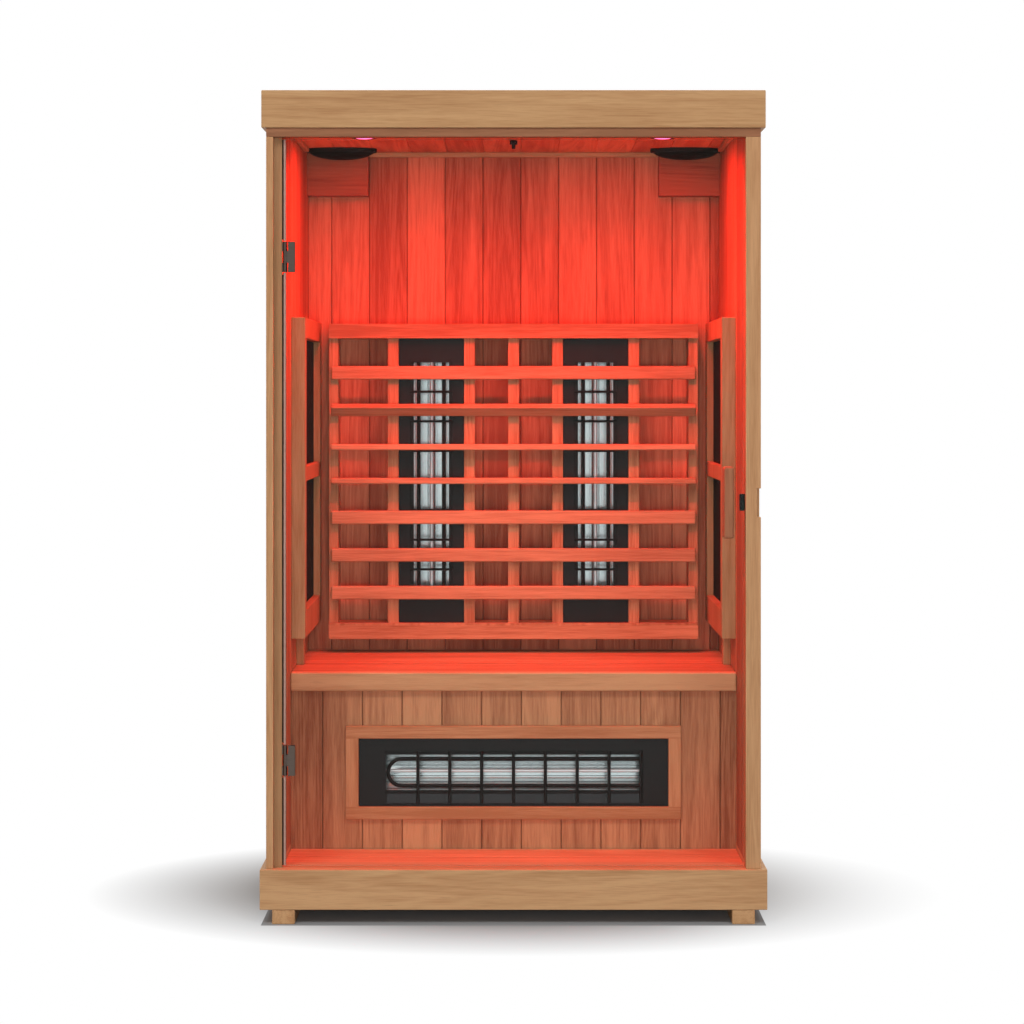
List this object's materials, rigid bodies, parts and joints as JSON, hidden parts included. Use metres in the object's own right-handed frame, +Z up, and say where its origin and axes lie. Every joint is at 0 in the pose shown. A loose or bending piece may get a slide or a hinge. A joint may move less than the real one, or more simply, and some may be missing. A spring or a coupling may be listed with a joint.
{
  "type": "infrared sauna cabin",
  "caption": "Free-standing cedar infrared sauna cabin with a hinged glass door, slatted bench and backrest, rod heaters, side heating panels and ceiling lights.",
  "frame": {"origin": "on the ground, under the middle of the base", "axes": "+Z up, +X to the right seen from the front, the door faces -Y"},
  "size_m": [1.207, 1, 1.9833],
  "materials": {
    "cedar": "planed cedar, unvarnished",
    "lining": "tongue-and-groove cedar boards",
    "black_metal": "satin black",
    "reflector": "polished",
    "ceramic": "matt white",
    "carbon": "black heating cloth on a board",
    "hinge_steel": "dark bronzed, brushed",
    "lamp": "glowing lens",
    "glass": "clear tempered"
  },
  "bodies": {
    "cabin": {"runner_left": "cedar", "runner_right": "cedar", "plinth": "cedar", "floor_panel": "lining", "left_wall_panel": "cedar", "right_wall_panel": "cedar", "back_wall_panel": "cedar", "left_wall_lining": "lining", "right_wall_lining": "lining", "back_wall_lining": "lining", "left_post": "cedar", "right_post": "cedar", "header_rail": "cedar", "roof_cap": "cedar", "ceiling_panel": "lining", "bench_frame": "lining", "bench_seat": "lining", "bench_nosing": "cedar", "bench_kick_panel": "lining", "kick_heater_frame": "cedar", "kick_heater_housing": "black_metal", "kick_heater_reflector": "reflector", "kick_heater_tube": "ceramic", "kick_heater_guard": "black_metal", "back_heater_left_housing": "black_metal", "back_heater_left_reflector": "reflector", "back_heater_left_tube": "ceramic", "back_heater_left_guard": "black_metal", "back_heater_right_housing": "black_metal", "back_heater_right_reflector": "reflector", "back_heater_right_tube": "ceramic", "back_heater_right_guard": "black_metal", "backrest_frame": "lining", "backrest_slat_1": "lining", "backrest_slat_2": "lining", "backrest_slat_3": "lining", "backrest_slat_4": "lining", "backrest_slat_5": "lining", "backrest_slat_6": "lining", "backrest_slat_7": "lining", "left_side_heater_frame": "cedar", "right_side_heater_frame": "cedar", "left_side_heater_panel": "carbon", "right_side_heater_panel": "carbon", "ceiling_lamp_left": "lamp", "ceiling_lamp_right": "lamp", "speaker_box_left": "lining", "speaker_box_right": "lining", "speaker_left": "black_metal", "speaker_right": "black_metal", "temperature_sensor": "black_metal", "control_box": "black_metal", "upper_hinge_bracket": "hinge_steel", "lower_hinge_bracket": "hinge_steel", "door_catch": "black_metal"},
    "door": {"door_glass": "glass", "upper_hinge_clamp": "hinge_steel", "lower_hinge_clamp": "hinge_steel", "door_handle_outer": "cedar", "door_handle_inner": "cedar"}
  },
  "joints": [
    {"name": "door_hinge", "type": "hinge", "parent": "cabin", "child": "door", "pos_m": [-0.546, -0.464, 1], "axis": [0, 0, -1], "range_deg": [0, 105]}
  ]
}
